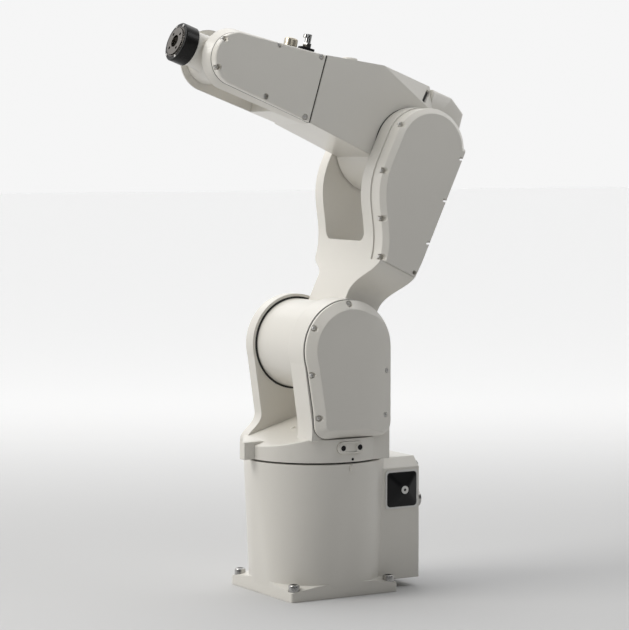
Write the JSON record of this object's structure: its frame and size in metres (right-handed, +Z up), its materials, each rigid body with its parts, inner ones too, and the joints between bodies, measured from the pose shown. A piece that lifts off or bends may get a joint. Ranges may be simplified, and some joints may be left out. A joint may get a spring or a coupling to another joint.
{
  "type": "six-axis industrial robot arm",
  "caption": "Small bench-mounted robot arm with a square foot, a swivel, a leaning lower arm, a forearm and a bolted tool flange, all joined at turning axes.",
  "frame": {"origin": "on axis 1, at the flat underside of the foot", "axes": "+X the way the arm faces, +Y the arm's left side, +Z up along axis 1"},
  "size_m": [0.5218, 0.2375, 0.9137],
  "materials": {
    "black_plastic": "satin black moulded plastic",
    "connector_metal": "satin nickel plate",
    "paint_white": "satin warm white powder paint",
    "panel_grey": "satin grey paint",
    "ring_black": "black anodised aluminium",
    "seal_black": "matt black rubber",
    "steel": "turned steel",
    "white_plastic": "white moulded plastic"
  },
  "bodies": {
    "base": {"base_casting": "paint_white", "connector_panel": "panel_grey", "rear_connectors": "connector_metal", "air_ports": "connector_metal", "button_frame": "paint_white", "brake_button": "black_plastic", "button_ring": "white_plastic"},
    "swivel": {"axis_1_seal": "seal_black", "swivel_casting": "paint_white", "shoulder_cover": "paint_white", "shoulder_cap": "paint_white", "port_plate": "panel_grey", "port_plugs": "black_plastic"},
    "lower_arm": {"lower_arm_casting": "paint_white", "shoulder_seals": "seal_black", "elbow_cover": "paint_white", "elbow_cap": "paint_white"},
    "upper_arm": {"upper_arm_housing": "paint_white", "elbow_seals": "seal_black", "rear_cover": "paint_white", "axis_4_seal": "seal_black"},
    "forearm": {"forearm_casting": "paint_white", "forearm_cover": "paint_white", "forearm_cover_far": "paint_white", "top_cap": "steel", "air_fitting": "steel", "fitting_base": "black_plastic"},
    "wrist": {"wrist_body": "paint_white", "flange_ring": "ring_black"},
    "tool_flange": {"tool_flange": "steel"}
  },
  "joints": [
    {"name": "axis_1", "type": "hinge", "parent": "base", "child": "swivel", "pos_m": [0, 0, 0.2187], "axis": [0, 0, 1], "range_deg": [-170, 170]},
    {"name": "axis_2", "type": "hinge", "parent": "swivel", "child": "lower_arm", "pos_m": [0, 0, 0.3991], "axis": [0, 1, 0], "range_deg": [-74.8, 145]},
    {"name": "axis_3", "type": "hinge", "parent": "lower_arm", "child": "upper_arm", "pos_m": [-0.14902, 0, 0.71579], "axis": [0, -1, 0], "range_deg": [-61.6, 208.4]},
    {"name": "axis_4", "type": "hinge", "parent": "upper_arm", "child": "forearm", "pos_m": [0.02551, 0, 0.81236], "axis": [0.9573, 0, 0.289], "range_deg": [-270, 270]},
    {"name": "axis_5", "type": "hinge", "parent": "forearm", "child": "wrist", "pos_m": [0.17486, 0, 0.85745], "axis": [0, 1, 0], "range_deg": [-126.8, 133.2]},
    {"name": "axis_6", "type": "hinge", "parent": "wrist", "child": "tool_flange", "pos_m": [0.25191, 0, 0.88549], "axis": [0.9397, 0, 0.342], "range_deg": [-242, 242]}
  ]
}
